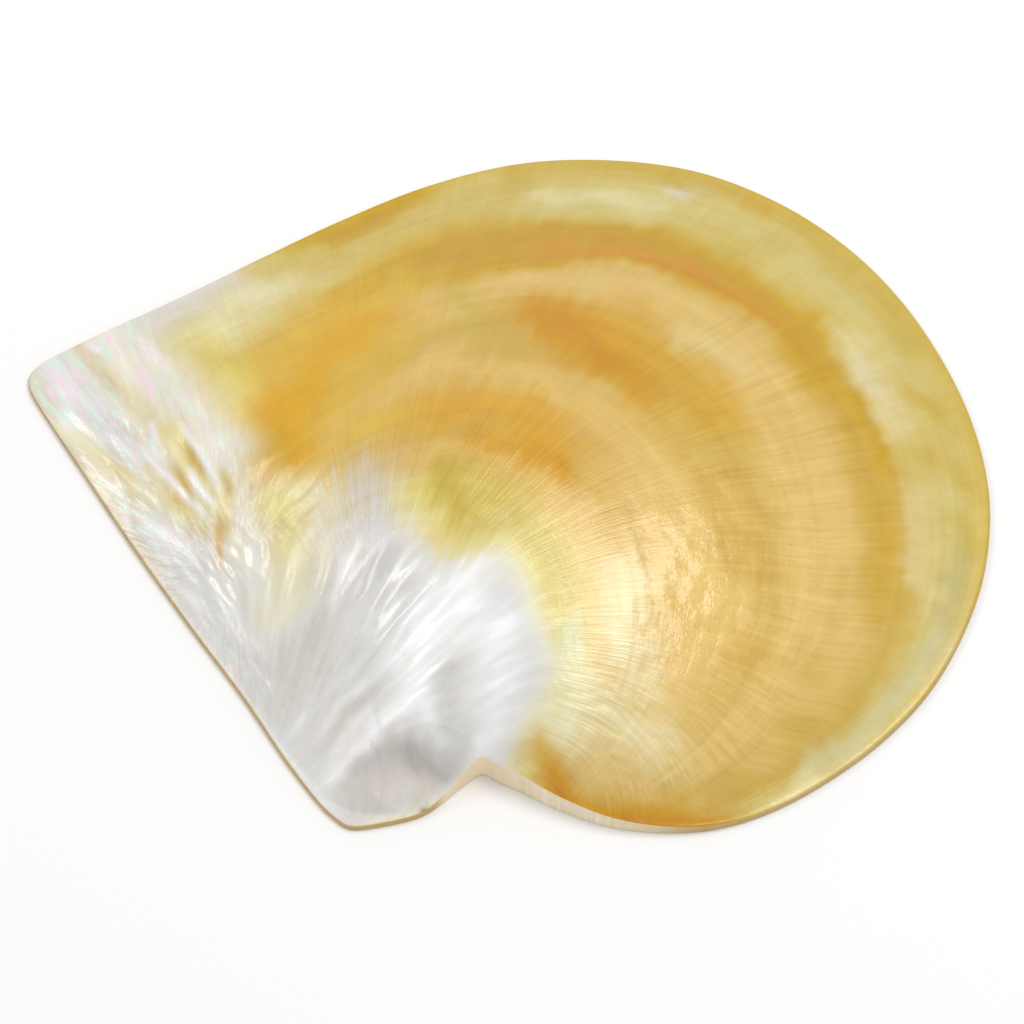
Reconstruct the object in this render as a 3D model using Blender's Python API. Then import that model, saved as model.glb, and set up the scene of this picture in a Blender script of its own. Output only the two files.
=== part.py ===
"""Mother of pearl shell: one polished valve of a gold-lip pearl oyster, lying on its rim.

+X runs along the hinge from the posterior corner to the anterior corner, +Y from the hinge to the
ventral margin and +Z up, out of the convex outside. The origin is on the resting plane, under the
middle of the valve. Sizes are in millimetres until the last step, which makes them metres.
"""
import math

import bmesh
import bpy
import numpy as np
from mathutils import Vector
from mathutils.geometry import interpolate_bezier

MM = 0.001

# Driving dimensions
VALVE_LENGTH = 168.0
VALVE_HEIGHT = 165.0
DOME_TOP = 26.0
EDGE_THICKNESS = 1.3
NOTCH_THICKNESS = 5.9
WALL_THICKNESS = 4.5
RIM_WIDTH = 4.0

# The plan of the dome: its highest point, and the round outline that its middle follows
PEAK = np.array([10.0, -24.0])
BODY_RADIUS = 84.0

# Lower down the dome follows the margin, smoothed past its notch and corners
OUTLINE_SOFTNESS = math.radians(12.0)
OUTLINE_HOLD = 2.5
EDGE_FILLET = 1.5

# How steeply the dome meets the margin: under 1 stands up, over 1 flares out
DOME_FLARE = 1.22
ANTERIOR_STEEPNESS = 0.30
ANTERIOR_BEARING = math.radians(-25.0)
ANTERIOR_SPREAD = math.radians(45.0)

# The thick edge at the byssal notch thins out along the body side and the ear side
NOTCH = np.array([48.0, -51.2])
THICK_EDGE_ON_BODY = 52.0
THICK_EDGE_ON_EAR = 15.0

# The crest that runs from the beak onto the dome
CREST_START = np.array([41.5, -79.0])
CREST_END = np.array([29.0, -36.0])
CREST_RISE = 1.0
CREST_WIDTH = 7.0

# The anterior ear is a low facet under a lip; its foot is this far in from the lip
LIP_LINE = [
    (41.0, -82.0), (37.2, -77.0), (36.2, -73.0), (36.9, -68.0), (37.9, -62.5), (39.5, -58.8), (42.2, -55.6),
    (44.8, -53.4), (49.0, -51.4),
]
LIP_FOOT = 6.0
EAR_SLOPE = 0.38

# The margin in plan, counter-clockwise from the posterior corner
HINGE_EDGE = [
    (-78.6, -81.4), (-74.0, -81.9), (-55.0, -82.2), (-32.0, -82.4), (-10.0, -82.0),
    (10.0, -81.3), (26.0, -81.4), (37.5, -80.8), (42.0, -79.9), (44.6, -78.9), (46.0, -77.2),
]
EAR_EDGE = [
    (47.9, -72.6), (49.3, -68.2), (49.8, -65.0), (49.5, -61.8), (48.8, -58.2), (48.1, -54.5), (47.9, -51.8),
]
NOTCH_EDGE = [(48.6, -50.7), (50.4, -50.0)]
ANTERIOR_EDGE = [
    (54.6, -47.5), (62.5, -43.0), (70.3, -37.0), (76.8, -28.9), (81.2, -20.2), (83.5, -9.5),
    (83.6, 3.5), (81.7, 17.5), (77.4, 31.2), (69.9, 44.7), (59.8, 57.2),
]
VENTRAL_EDGE = [
    (45.8, 68.4), (29.0, 76.3), (10.8, 80.9), (-7.5, 82.5), (-25.0, 80.6), (-41.3, 75.1), (-56.3, 65.7),
]
POSTERIOR_EDGE = [
    (-68.7, 51.6), (-77.7, 35.0), (-82.5, 15.5), (-83.9, -5.0), (-83.8, -24.0), (-83.4, -43.0),
    (-83.6, -62.0), (-83.4, -72.5), (-82.8, -77.2), (-81.4, -80.0),
]
MARGIN_POINTS = HINGE_EDGE + EAR_EDGE + NOTCH_EDGE + ANTERIOR_EDGE + VENTRAL_EDGE + POSTERIOR_EDGE

# Mesh density
STEPS_BETWEEN_POINTS = 3
OUTSIDE_RINGS = 20
INSIDE_RINGS = 8

NACRE_GOLD = (0.78, 0.52, 0.16, 1.0)


def smooth_margin():
    """The closed margin through its points, sized to the valve's length and height."""
    points = [Vector(point) for point in MARGIN_POINTS]
    count = len(points)
    tangents = [(points[(i + 1) % count] - points[i - 1]).normalized() for i in range(count)]
    curve = []
    for i, start in enumerate(points):
        after = (i + 1) % count
        end = points[after]
        reach = (end - start).length / 3
        span = interpolate_bezier(start, start + tangents[i] * reach, end - tangents[after] * reach, end,
                                  STEPS_BETWEEN_POINTS + 1)
        curve.extend(point.to_2d() for point in span[:-1])
    curve = np.array(curve)
    low, high = curve.min(axis=0), curve.max(axis=0)
    return (curve - (low + high) / 2) * np.array([VALVE_LENGTH, VALVE_HEIGHT]) / (high - low)


def fade(distance, reach):
    """1 at no distance, falling smoothly to 0 at the given reach."""
    t = np.clip(distance / reach, 0.0, 1.0)
    return 1.0 - t * t * (3.0 - 2.0 * t)


def edge_height(margin):
    """Height of the edge face all round: thin, but thick on both sides of the notch."""
    from_notch = np.linalg.norm(margin - NOTCH, axis=1)
    reach = np.where(margin[:, 1] > NOTCH[1], THICK_EDGE_ON_BODY, THICK_EDGE_ON_EAR)
    return EDGE_THICKNESS + (NOTCH_THICKNESS - EDGE_THICKNESS) * fade(from_notch, reach)


def softened(margin, values):
    """Values along the margin, averaged over the spokes near each one."""
    spokes = margin - PEAK
    bearing = np.arctan2(spokes[:, 1], spokes[:, 0])
    gap = np.abs(np.angle(np.exp(1j * (np.roll(bearing, -1) - np.roll(bearing, 1)))))
    turn = np.angle(np.exp(1j * (bearing[:, None] - bearing[None, :])))
    weight = np.exp(-(turn / OUTLINE_SOFTNESS) ** 2) * gap[None, :]
    return weight @ values / weight.sum(axis=1)


def body_foot(margin):
    """Where the body alone would end on each spoke, and how high, with notch and corners smoothed out."""
    return softened(margin, np.linalg.norm(margin - PEAK, axis=1)), softened(margin, edge_height(margin))


def dome_height(spokes, share, edge, foot):
    """The dome over one ring: round near its top, following the body's outline lower down."""
    foot_length, foot_height = foot
    length = np.linalg.norm(spokes, axis=1)
    bearing = spokes / length[:, None]
    along = bearing @ PEAK
    round_length = np.sqrt(along ** 2 + BODY_RADIUS ** 2 - PEAK @ PEAK) - along
    body_share = share * length / foot_length
    hold = np.clip(body_share, 0, 1) ** OUTLINE_HOLD
    body_share *= (1 - hold) * foot_length / round_length + hold
    turn = np.angle(np.exp(1j * (np.arctan2(spokes[:, 1], spokes[:, 0]) - ANTERIOR_BEARING)))
    flare = DOME_FLARE - ANTERIOR_STEEPNESS * np.exp(-(turn / ANTERIOR_SPREAD) ** 2)
    dome = foot_height + (DOME_TOP - foot_height) * np.clip(1 - body_share ** 2, 0, 1) ** flare
    to_margin = (1 - share) * length
    return edge + (dome - edge) * (1 - np.exp(-to_margin / EDGE_FILLET))


def crest_height(places):
    """Extra height of the crest between the beak and the dome."""
    run = CREST_END - CREST_START
    t = np.clip((places - CREST_START) @ run / (run @ run), 0, 1)
    aside = np.linalg.norm(places - (CREST_START + t[:, None] * run), axis=1)
    return CREST_RISE * np.sin(math.pi * t) ** 1.5 * np.exp(-(aside / CREST_WIDTH) ** 2)


def beside_line(places, line):
    """Distance of each place to a drawn line, and the side it lies on (+1 to its left)."""
    nearest = np.full(len(places), np.inf)
    side = np.ones(len(places))
    for start, end in zip(line, line[1:]):
        start = np.array(start)
        run = np.array(end) - start
        away = places - start
        along = np.clip(away @ run / (run @ run), 0, 1)
        gap = np.linalg.norm(away - along[:, None] * run, axis=1)
        closer = gap < nearest
        nearest[closer] = gap[closer]
        left = run[0] * away[:, 1] - run[1] * away[:, 0]
        side[closer] = np.sign(left)[closer]
    return nearest, side


def ear_share(places):
    """1 on the anterior ear, 0 on the body, with a crisp lip and a soft foot between them."""
    gap, side = beside_line(places, LIP_LINE)
    into_ear = np.where((side < 0) & (places[:, 0] > 34.0), gap, 0.0)
    return 1 - np.clip(1 - into_ear / LIP_FOOT, 0, 1) ** 2


def outside_height(margin, share, foot):
    """Height of the polished outside over one ring of the valve."""
    spokes = margin - PEAK
    places = PEAK + share[:, None] * spokes
    edge = edge_height(margin)
    to_margin = (1 - share) * np.linalg.norm(spokes, axis=1)
    body = dome_height(spokes, share, edge, foot)
    body += crest_height(places) * np.minimum(1.0, 6 * (1 - share))
    ear = np.minimum(edge + EAR_SLOPE * to_margin, body)
    return body + (ear - body) * ear_share(places)


def ring(margin, share, height):
    """Points of one ring, each at its share of the way from the dome's top to the margin."""
    places = PEAK + share[:, None] * (margin - PEAK)
    return np.column_stack([places, np.broadcast_to(height, len(places))])


def valve_rings(margin):
    """Rings of the outside from the top down, the edge face, the flat rim and the hollow inside."""
    whole = np.ones(len(margin))
    foot = body_foot(margin)
    rings = []
    for k in range(1, OUTSIDE_RINGS + 1):
        share = whole * (1 - (1 - k / OUTSIDE_RINGS) ** 1.3)
        rings.append(ring(margin, share, outside_height(margin, share, foot)))
    rings.append(ring(margin, whole, 0.0))
    rim = 1 - RIM_WIDTH / np.linalg.norm(margin - PEAK, axis=1)
    rings.append(ring(margin, rim, 0.0))
    for k in range(1, INSIDE_RINGS):
        share = (1 - k / INSIDE_RINGS) ** 0.75
        outside = outside_height(margin, rim * share, foot)
        wall = np.minimum(WALL_THICKNESS, 0.55 * outside)
        rings.append(ring(margin, rim * share, (outside - wall) * (1 - share ** 10)))
    return rings


def extrude_ring(bm, verts, places):
    """Extrude the open edge loop once and move the new loop to its places."""
    edges = [edge for edge in bm.edges if edge.is_boundary]
    grown = bmesh.ops.extrude_edge_only(bm, edges=edges)["geom"]
    fresh = {item for item in grown if isinstance(item, bmesh.types.BMVert)}
    loop = []
    for vert, place in zip(verts, places):
        twin = next(edge.other_vert(vert) for edge in vert.link_edges if edge.other_vert(vert) in fresh)
        twin.co = Vector(place) * MM
        loop.append(twin)
    return loop


def valve_mesh():
    """The whole valve as one closed net, from the dome's top over the rim to the hollow's middle."""
    margin = smooth_margin()
    rings = valve_rings(margin)
    bm = bmesh.new()
    bmesh.ops.create_circle(bm, cap_ends=True, cap_tris=True, segments=len(margin), radius=1.0)
    rim = [vert for vert in bm.verts if vert.is_boundary]
    top = next(vert for vert in bm.verts if not vert.is_boundary)
    top.co = Vector((*PEAK, DOME_TOP)) * MM
    rim.sort(key=lambda vert: math.atan2(vert.co.y, vert.co.x))
    for vert, place in zip(rim, rings[0]):
        vert.co = Vector(place) * MM
    for places in rings[1:]:
        rim = extrude_ring(bm, rim, places)
    hollow_top = Vector((*PEAK, DOME_TOP - WALL_THICKNESS)) * MM
    rim = extrude_ring(bm, rim, rings[-1])
    bmesh.ops.pointmerge(bm, verts=rim, merge_co=hollow_top)
    bmesh.ops.recalc_face_normals(bm, faces=bm.faces)
    mesh = bpy.data.meshes.new("shell")
    bm.to_mesh(mesh)
    bm.free()
    mesh.shade_smooth()
    mesh.set_sharp_from_angle(angle=math.radians(60.0))
    return mesh


def nacre():
    """Polished gold nacre."""
    material = bpy.data.materials.new("nacre")
    material.use_nodes = True
    shader = material.node_tree.nodes["Principled BSDF"]
    shader.inputs["Base Color"].default_value = NACRE_GOLD
    shader.inputs["Roughness"].default_value = 0.28
    shader.inputs["Metallic"].default_value = 0.0
    return material


def build():
    """Clear the scene and make the valve in its own collection."""
    for old in list(bpy.data.objects):
        bpy.data.objects.remove(old)
    collection = bpy.data.collections.new("pearl_oyster_valve")
    bpy.context.scene.collection.children.link(collection)
    mesh = valve_mesh()
    mesh.materials.append(nacre())
    collection.objects.link(bpy.data.objects.new("shell", mesh))


build()
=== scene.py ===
"""Looks of the mother of pearl shell: a polished gold-lip pearl oyster valve on a white floor.

Lengths are in millimetres in the shell's own frame until a mesh is made: +X along the hinge to the
anterior corner, +Y to the ventral margin, +Z up out of the convex outside.
"""
import math

import bpy
import numpy as np
from mathutils import Matrix, Vector
from mathutils.geometry import interpolate_bezier


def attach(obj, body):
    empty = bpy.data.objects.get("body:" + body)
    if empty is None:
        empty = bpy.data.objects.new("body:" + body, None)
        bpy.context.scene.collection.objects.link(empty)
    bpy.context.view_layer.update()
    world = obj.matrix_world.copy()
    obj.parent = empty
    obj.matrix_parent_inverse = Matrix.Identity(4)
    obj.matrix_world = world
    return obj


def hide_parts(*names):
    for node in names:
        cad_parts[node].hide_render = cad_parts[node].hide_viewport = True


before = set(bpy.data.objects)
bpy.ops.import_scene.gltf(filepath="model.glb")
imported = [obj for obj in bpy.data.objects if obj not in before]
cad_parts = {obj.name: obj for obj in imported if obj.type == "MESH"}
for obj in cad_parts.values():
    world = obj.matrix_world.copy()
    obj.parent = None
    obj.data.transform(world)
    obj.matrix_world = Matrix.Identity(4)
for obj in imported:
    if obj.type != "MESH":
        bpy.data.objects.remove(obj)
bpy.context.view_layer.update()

MM = 0.001

# Valve, as in its solid
VALVE_LENGTH = 168.0
VALVE_HEIGHT = 165.0
DOME_TOP = 26.0
EDGE_THICKNESS = 1.3
NOTCH_THICKNESS = 5.9
WALL_THICKNESS = 4.5
RIM_WIDTH = 4.0
PEAK = np.array([10.0, -24.0])
BODY_RADIUS = 84.0
OUTLINE_SOFTNESS = math.radians(12.0)
OUTLINE_HOLD = 2.5
EDGE_FILLET = 1.5
DOME_FLARE = 1.22
ANTERIOR_STEEPNESS = 0.30
ANTERIOR_BEARING = math.radians(-25.0)
ANTERIOR_SPREAD = math.radians(45.0)
NOTCH = np.array([48.0, -51.2])
THICK_EDGE_ON_BODY = 52.0
THICK_EDGE_ON_EAR = 15.0
CREST_START = np.array([41.5, -79.0])
CREST_END = np.array([29.0, -36.0])
CREST_RISE = 1.0
CREST_WIDTH = 7.0
CREST_ENDS = 6.0
LIP_LINE = [
    (41.0, -82.0), (37.2, -77.0), (36.2, -73.0), (36.9, -68.0), (37.9, -62.5), (39.5, -58.8), (42.2, -55.6),
    (44.8, -53.4), (49.0, -51.4),
]
LIP_FOOT = 6.0
EAR_SLOPE = 0.38
EAR_STARTS = 34.0

HINGE_EDGE = [
    (-78.6, -81.4), (-74.0, -81.9), (-55.0, -82.2), (-32.0, -82.4), (-10.0, -82.0),
    (10.0, -81.3), (26.0, -81.4), (37.5, -80.8), (42.0, -79.9), (44.6, -78.9), (46.0, -77.2),
]
EAR_EDGE = [
    (47.9, -72.6), (49.3, -68.2), (49.8, -65.0), (49.5, -61.8), (48.8, -58.2), (48.1, -54.5), (47.9, -51.8),
]
NOTCH_EDGE = [(48.6, -50.7), (50.4, -50.0)]
ANTERIOR_EDGE = [
    (54.6, -47.5), (62.5, -43.0), (70.3, -37.0), (76.8, -28.9), (81.2, -20.2), (83.5, -9.5),
    (83.6, 3.5), (81.7, 17.5), (77.4, 31.2), (69.9, 44.7), (59.8, 57.2),
]
VENTRAL_EDGE = [
    (45.8, 68.4), (29.0, 76.3), (10.8, 80.9), (-7.5, 82.5), (-25.0, 80.6), (-41.3, 75.1), (-56.3, 65.7),
]
POSTERIOR_EDGE = [
    (-68.7, 51.6), (-77.7, 35.0), (-82.5, 15.5), (-83.9, -5.0), (-83.8, -24.0), (-83.4, -43.0),
    (-83.6, -62.0), (-83.4, -72.5), (-82.8, -77.2), (-81.4, -80.0),
]
# Points of the posterior edge that turn the corner to the hinge
CORNER_POINTS = 3
MARGIN_POINTS = HINGE_EDGE + EAR_EDGE + NOTCH_EDGE + ANTERIOR_EDGE + VENTRAL_EDGE + POSTERIOR_EDGE

# Growth lines: copies of the margin that open out from the beak, and later from a place ahead of it
BEAK = np.array([42.0, -84.0])
LATE_CENTRE = np.array([62.0, -48.0])
FAN_CENTRE = np.array([36.0, -66.0])
# Where the fine lines of each zone run together: young rays, silver zone, posterior ear
YOUNG_RAY_CENTRE = np.array([24.0, -61.0])
SILVER_CENTRE = np.array([32.0, -95.0])
EAR_CENTRE = np.array([-12.0, -71.0])
# Where the zones lie. A pair is the two ends of a ramp, from none to full.
SILVER_LINE = [(2.0, -74.0), (14.0, -64.0), (22.0, -52.0), (36.0, -46.0)]
SILVER_REACH = 17.0
EAR_IN_Y = (-49.0, -57.0)
EAR_IN_X = (-4.0, -14.0)
HINGE_STRIP_IN_Y = (-73.0, -77.5)
HINGE_STRIP_IN_X = (20.0, 2.0)
EAR_STREAKS_START = (3.0, 14.0)
LATE_GROWTH = (0.60, 0.85)
OPEN_FAN = (172.0, 150.0)
RAY_TURN = (0.40, 0.95)
PEARLY_PALENESS = (0.45, 0.80)
# Where the fine rays show best, over a faint ground
FAINT_RAYS = 0.35
LEMON_STARTS = (0.29, 0.35)
LEMON_ENDS = (0.56, 0.44)
MIDDLE_STARTS = (0.52, 0.62)
MIDDLE_ENDS = (0.84, 0.74)
MIDDLE_FAN = (125.0, 95.0)

# Nacre colours (red, green, blue out of 255), as seen in even light except for the painted light:
# white is laid on as painted highlights and glints, lilac and shade as painted shade
NACRE = {
    "silver": (229, 228, 224), "white": (255, 255, 254), "ash": (209, 206, 203), "lilac": (216, 214, 222),
    "taupe": (205, 195, 183), "shade": (186, 180, 176), "pearl": (242, 238, 219), "cream": (240, 233, 190),
    "lemon": (234, 219, 130), "olive": (205, 180, 88), "straw": (217, 195, 116), "pale": (215, 199, 126),
    "moss": (188, 178, 126), "gold": (209, 180, 90), "old gold": (207, 163, 24), "sun": (227, 190, 84),
    "honey": (226, 175, 60), "amber": (219, 170, 74), "orange": (211, 152, 38), "marmalade": (213, 154, 24),
    "brown": (190, 118, 8), "umber": (158, 118, 96), "rose": (227, 195, 121), "tan": (212, 178, 98),
    "peach": (220, 186, 114), "mint": (214, 242, 228), "pink": (246, 216, 234),
}

# Colour of each growth stage before anything else is laid over it
GROWTH_COLOURS = [
    (0.00, "silver"), (0.28, "silver"), (0.31, "cream"), (0.36, "lemon"), (0.40, "rose"), (0.43, "peach"),
    (0.46, "tan"), (0.50, "peach"), (0.55, "rose"), (0.585, "tan"), (0.64, "tan"), (0.70, "rose"),
    (0.74, "rose"), (0.775, "tan"), (0.80, "tan"), (0.84, "straw"), (0.87, "straw"), (0.92, "pale"),
    (0.96, "straw"), (1.00, "gold"),
]

# Hollow: silver nacre with a gold lip round its rim
HOLLOW_COLOURS = [(0.0, "silver"), (0.72, "silver"), (0.86, "gold"), (1.0, "old gold")]

# Clouds of colour laid over the growth stages: colour, strength, half width, and the line it follows
# Some clouds are painted highlights and painted shade; they are marked where they stand
CLOUDS = [
    # Posterior side, from the outer zone in to the beak
    ("straw", 0.9, 9, [(-72, 24), (-72, 0), (-72, -22)]),
    ("cream", 0.8, 8, [(-74, -30), (-68, -42), (-66, -50)]),
    ("cream", 0.4, 4, [(-66, -18), (-65, -30)]),
    ("straw", 0.8, 6, [(-66, 6), (-66, -10), (-63, -28)]),
    ("silver", 0.9, 7, [(-85, -36), (-82, -50), (-80, -62)]),
    ("sun", 0.9, 9, [(-57, 2), (-55, -18), (-53, -34), (-50, -46)]),
    ("old gold", 0.5, 3.5, [(-60, -6), (-59, -20)]),
    ("olive", 0.6, 7, [(-50, 4), (-40, 0), (-34, -5)]),
    ("rose", 0.6, 5, [(-47, -8), (-42, -12), (-38, -8)]),
    ("lemon", 0.8, 5, [(-66, -46), (-58, -49), (-46, -51), (-40, -51)]),
    ("olive", 0.4, 4, [(-66, -48), (-58, -48)]),
    ("honey", 0.95, 8, [(-47, -20), (-44, -32), (-36, -43)]),
    ("sun", 0.6, 6, [(-35, -20), (-33, -31), (-30, -37)]),
    ("honey", 0.95, 6, [(-38, -46), (-28, -48), (-23, -50)]),
    ("old gold", 0.5, 3.0, [(-34, -49), (-27, -52), (-23, -52)]),
    ("sun", 0.8, 5, [(-20, -30), (-18, -40), (-17, -50)]),
    ("rose", 0.8, 2.6, [(-28, -10), (-27, -20), (-24, -30)]),
    ("cream", 0.8, 4.6, [(-18, -57), (-12, -50), (-7, -54), (-4, -64)]),
    ("cream", 0.8, 1.6, [(-18, -59), (-16.5, -56)]),
    # Posterior ear
    ("pearl", 1.0, 6, [(-80, -62), (-58, -59), (-38, -59)]),
    ("silver", 1.0, 10, [(-84, -74), (-56, -74), (-30, -75), (-12, -77)]),
    ("pearl", 0.95, 5, [(-36, -62), (-24, -64), (-14, -67), (-4, -73)]),
    ("lemon", 0.8, 3.6, [(-18, -58), (-11, -57), (-6, -62)]),
    ("pearl", 0.8, 4, [(-72, -64), (-52, -64), (-38, -61)]),
    ("straw", 0.45, 2.4, [(-83, -68), (-66, -66), (-50, -65)]),
    ("cream", 0.7, 2.6, [(-66, -80), (-50, -77.5), (-40, -74.5), (-28, -72)]),
    ("straw", 0.5, 1.6, [(-58, -78), (-46, -76), (-38, -77.6)]),
    ("straw", 0.5, 2.2, [(-46, -71.6), (-34, -72), (-24, -71)]),
    ("lemon", 0.55, 3.4, [(-50, -63), (-38, -66), (-26, -66)]),
    ("old gold", 0.8, 1.2, [(-47, -62.4), (-41, -63.8), (-34, -64.6)]),
    ("old gold", 0.9, 1.1, [(-42, -68.0), (-36, -69.0), (-30, -70)]),
    ("gold", 0.8, 1.1, [(-34, -61.4), (-29, -62.0), (-25, -63.6)]),
    ("gold", 0.7, 1.3, [(-38, -70.8), (-32, -71.8)]),
    ("gold", 0.8, 1.6, [(-24, -66.8), (-19, -67.6)]),
    ("amber", 1.0, 0.7, [(-24, -67.6), (-20, -69.4), (-15.4, -72.2)]),
    # White streaks: pearly white nacre, raised to full white as painted glints along the wrinkles
    ("white", 0.9, 0.8, [(-50, -61.2), (-40, -62.2), (-30, -63.9)]),
    ("white", 1.0, 0.8, [(-39, -66.0), (-33, -66.9), (-27, -66.3)]),
    ("white", 0.9, 0.9, [(-55, -65.6), (-49, -68.2), (-45, -69)]),
    ("white", 0.8, 0.7, [(-50, -70.4), (-40, -70.2), (-30, -69.2), (-25, -68.8)]),
    ("white", 0.7, 1.0, [(-79, -56.4), (-66, -57)]),
    ("white", 0.7, 0.8, [(-84, -66.6), (-78, -65)]),
    ("white", 0.6, 2.0, [(-74, -76), (-66, -79)]),
    ("white", 1.0, 1.6, [(-34, -78.4), (-27, -76.6), (-20, -74.2)]),
    ("white", 0.8, 0.8, [(-18, -79.4), (-8, -79)]),
    ("white", 0.8, 0.8, [(-12, -75.4), (-4, -76.6), (-1, -79)]),
    ("white", 0.7, 0.8, [(-15, -65.2), (-11, -66.4), (-8, -68.6)]),
    ("taupe", 0.5, 1.6, [(-30, -73.6), (-22, -72.6), (-16, -75)]),
    # Silver zone round the beak
    ("silver", 1.0, 12, [(-2, -76), (12, -67), (26, -52), (38, -46)]),
    ("silver", 1.0, 7, [(2, -50), (14, -46), (28, -39), (42, -40)]),
    ("ash", 0.8, 6.5, [(-8, -43), (1, -47), (8, -52), (16, -51)]),
    ("taupe", 0.45, 6, [(-8, -52), (2, -58), (10, -66)]),
    ("taupe", 0.25, 7, [(8, -78), (18, -74), (30, -71)]),
    ("taupe", 0.25, 3, [(12, -64), (14, -72)]),
    ("cream", 0.5, 5, [(-3, -58), (0, -68)]),
    # Lilac above the notch: painted shade on the steep slope down to it
    ("lilac", 0.35, 4.0, [(30, -37), (38, -41), (43, -45)]),
    # Full white along the crest and the folds: painted highlights over the silver nacre
    ("white", 1.0, 3.4, [(21, -37), (22.6, -44), (26, -56)]),
    ("white", 1.0, 3.6, [(27, -42), (31, -50), (35, -58)]),
    ("white", 1.0, 2.4, [(36.4, -56), (35.4, -66), (36.4, -76)]),
    # Silver and ash in the furrows and below the crest by the lip: painted shade beside the highlights
    ("silver", 0.8, 1.0, [(23.6, -50), (24.6, -57)]),
    ("ash", 0.6, 2.0, [(37, -51), (40, -54), (44, -52)]),
    # More painted highlights: white by the notch, on the lip's top and on a fold
    ("white", 0.9, 4.2, [(35, -41), (41, -44), (46, -48)]),
    ("white", 0.8, 1.2, [(38.4, -57), (42, -53.6)]),
    ("white", 0.6, 1.2, [(3, -52), (6, -56), (10, -61)]),
    # Taupe over the anterior ear and shade at the lip's foot: the ear's grey-beige nacre, darkened as
    # painted shadow from the lip
    ("taupe", 0.6, 6, [(43, -62), (43, -74)]),
    ("shade", 0.8, 2.4, [(40.4, -63), (42, -59.6), (45.6, -56.4)]),
    ("shade", 0.5, 1.6, [(39, -74), (39, -67), (40, -63)]),
    # White on the ridges and taupe in a furrow of the folds: painted highlights and painted shade
    ("white", 0.5, 1.1, [(28.5, -76), (26.6, -68), (27, -61)]),
    ("white", 0.5, 1.2, [(33.5, -78), (31.5, -71), (31, -64)]),
    ("white", 0.5, 1.0, [(24, -78), (21.5, -72)]),
    ("taupe", 0.5, 1.4, [(30.6, -76), (29, -68), (29.6, -62)]),
    ("white", 0.4, 1.0, [(15.5, -60), (13, -50), (13, -43)]),
    ("white", 0.4, 1.2, [(19, -58), (17.4, -48)]),
    ("cream", 0.5, 1.4, [(48.5, -58), (49.6, -65), (47.5, -74), (44, -79)]),
    ("umber", 0.8, 0.9, [(49.0, -63.5), (49.2, -66.2)]),
    # Lemon and olive rings
    ("olive", 1.0, 6, [(0, -28), (4, -32), (9, -32)]),
    ("olive", 0.6, 4.5, [(8, -24), (14, -27)]),
    ("lemon", 0.5, 3, [(2, -39), (10, -37), (17, -33)]),
    ("pale", 0.85, 4.6, [(16, -25), (28, -22), (40, -25)]),
    ("rose", 0.5, 3.0, [(16, -17), (28, -14.6), (40, -18)]),
    ("mint", 0.35, 2, [(40, -25), (46, -31)]),
    ("rose", 0.8, 2.0, [(-6, -33), (-4.5, -25), (1, -19), (8, -16), (14, -14)]),
    # Gold middle with its amber patches
    ("amber", 0.95, 7, [(-15, -24), (-12, -14), (-4, -8), (4, -9)]),
    ("orange", 0.6, 3.6, [(-3, -20), (2, -15), (12, -11)]),
    ("orange", 0.6, 2.2, [(10, -10), (14.5, -9)]),
    ("rose", 0.8, 2.4, [(-26, -14), (-20, -8), (-12, -3), (-4, 0)]),
    ("orange", 1.0, 6.4, [(-28, 9), (-19, 13), (-9, 12)]),
    ("orange", 0.6, 5, [(-22, 20), (-10, 19), (2, 14)]),
    ("amber", 0.6, 7, [(-18, 22), (-4, 24), (10, 24)]),
    ("old gold", 0.3, 6, [(-12, 26), (0, 27), (14, 26)]),
    ("peach", 0.6, 2.4, [(-12, 1), (-2, 3.6), (8, 7), (18, 6), (27, 4)]),
    ("cream", 0.25, 4, [(-8, 33), (2, 35)]),
    ("gold", 0.3, 4, [(10, 14), (20, 18), (20, 26)]),
    ("peach", 0.6, 9, [(36, -6), (44, -10), (54, -14)]),
    ("cream", 0.6, 4.4, [(36, -13), (46, -18), (55, -22)]),
    ("orange", 0.35, 4, [(54, -3), (60, 1)]),
    ("rose", 0.9, 6, [(50, 4), (56, -8), (62, -16)]),
    ("cream", 0.8, 4, [(49, -31), (54, -36)]),
    ("cream", 0.6, 4, [(54, -38), (58, -35)]),
    ("rose", 1.0, 5, [(62, -33), (68, -28), (72, -22)]),
    ("cream", 0.7, 5, [(58, -29), (66, -24)]),
    # Ring that closes the gold middle
    ("rose", 0.9, 5, [(-40, 8), (-38, 17), (-33, 26)]),
    ("rose", 0.6, 4, [(-34, 34), (-24, 39), (-8, 41), (10, 41), (28, 38), (44, 31)]),
    ("old gold", 1.0, 8.6, [(-59, 2), (-56, 16), (-49, 28)]),
    ("old gold", 0.8, 4, [(-51, 6), (-50, 14), (-46, 22)]),
    ("old gold", 1.0, 6.0, [(-52, 27), (-44, 38), (-35, 46), (-18, 52), (-4, 55), (8, 54)]),
    ("old gold", 1.0, 5.4, [(-52, 14), (-46, 30), (-36, 42), (-22, 48)]),
    ("marmalade", 0.6, 2.6, [(-46, 22), (-41, 31), (-33, 40), (-24, 45)]),
    ("marmalade", 0.7, 2.4, [(-40, 31), (-34, 40), (-26, 46), (-8, 50)]),
    ("old gold", 0.6, 2.6, [(-12, 57), (-4, 58), (2, 58)]),
    ("old gold", 0.75, 3.0, [(17, 52), (30, 53), (38, 50), (49, 43), (60, 37)]),
    ("gold", 0.6, 2.6, [(60, 37), (68, 29), (73, 19)]),
    ("old gold", 0.35, 3.0, [(2, 50), (22, 48), (36, 44), (50, 37), (60, 30)]),
    ("rose", 0.6, 1.6, [(30, 42), (44, 36), (56, 27), (66, 15)]),
    ("rose", 0.6, 5, [(62, 24), (69, 10), (71, -8), (70, -20)]),
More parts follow.
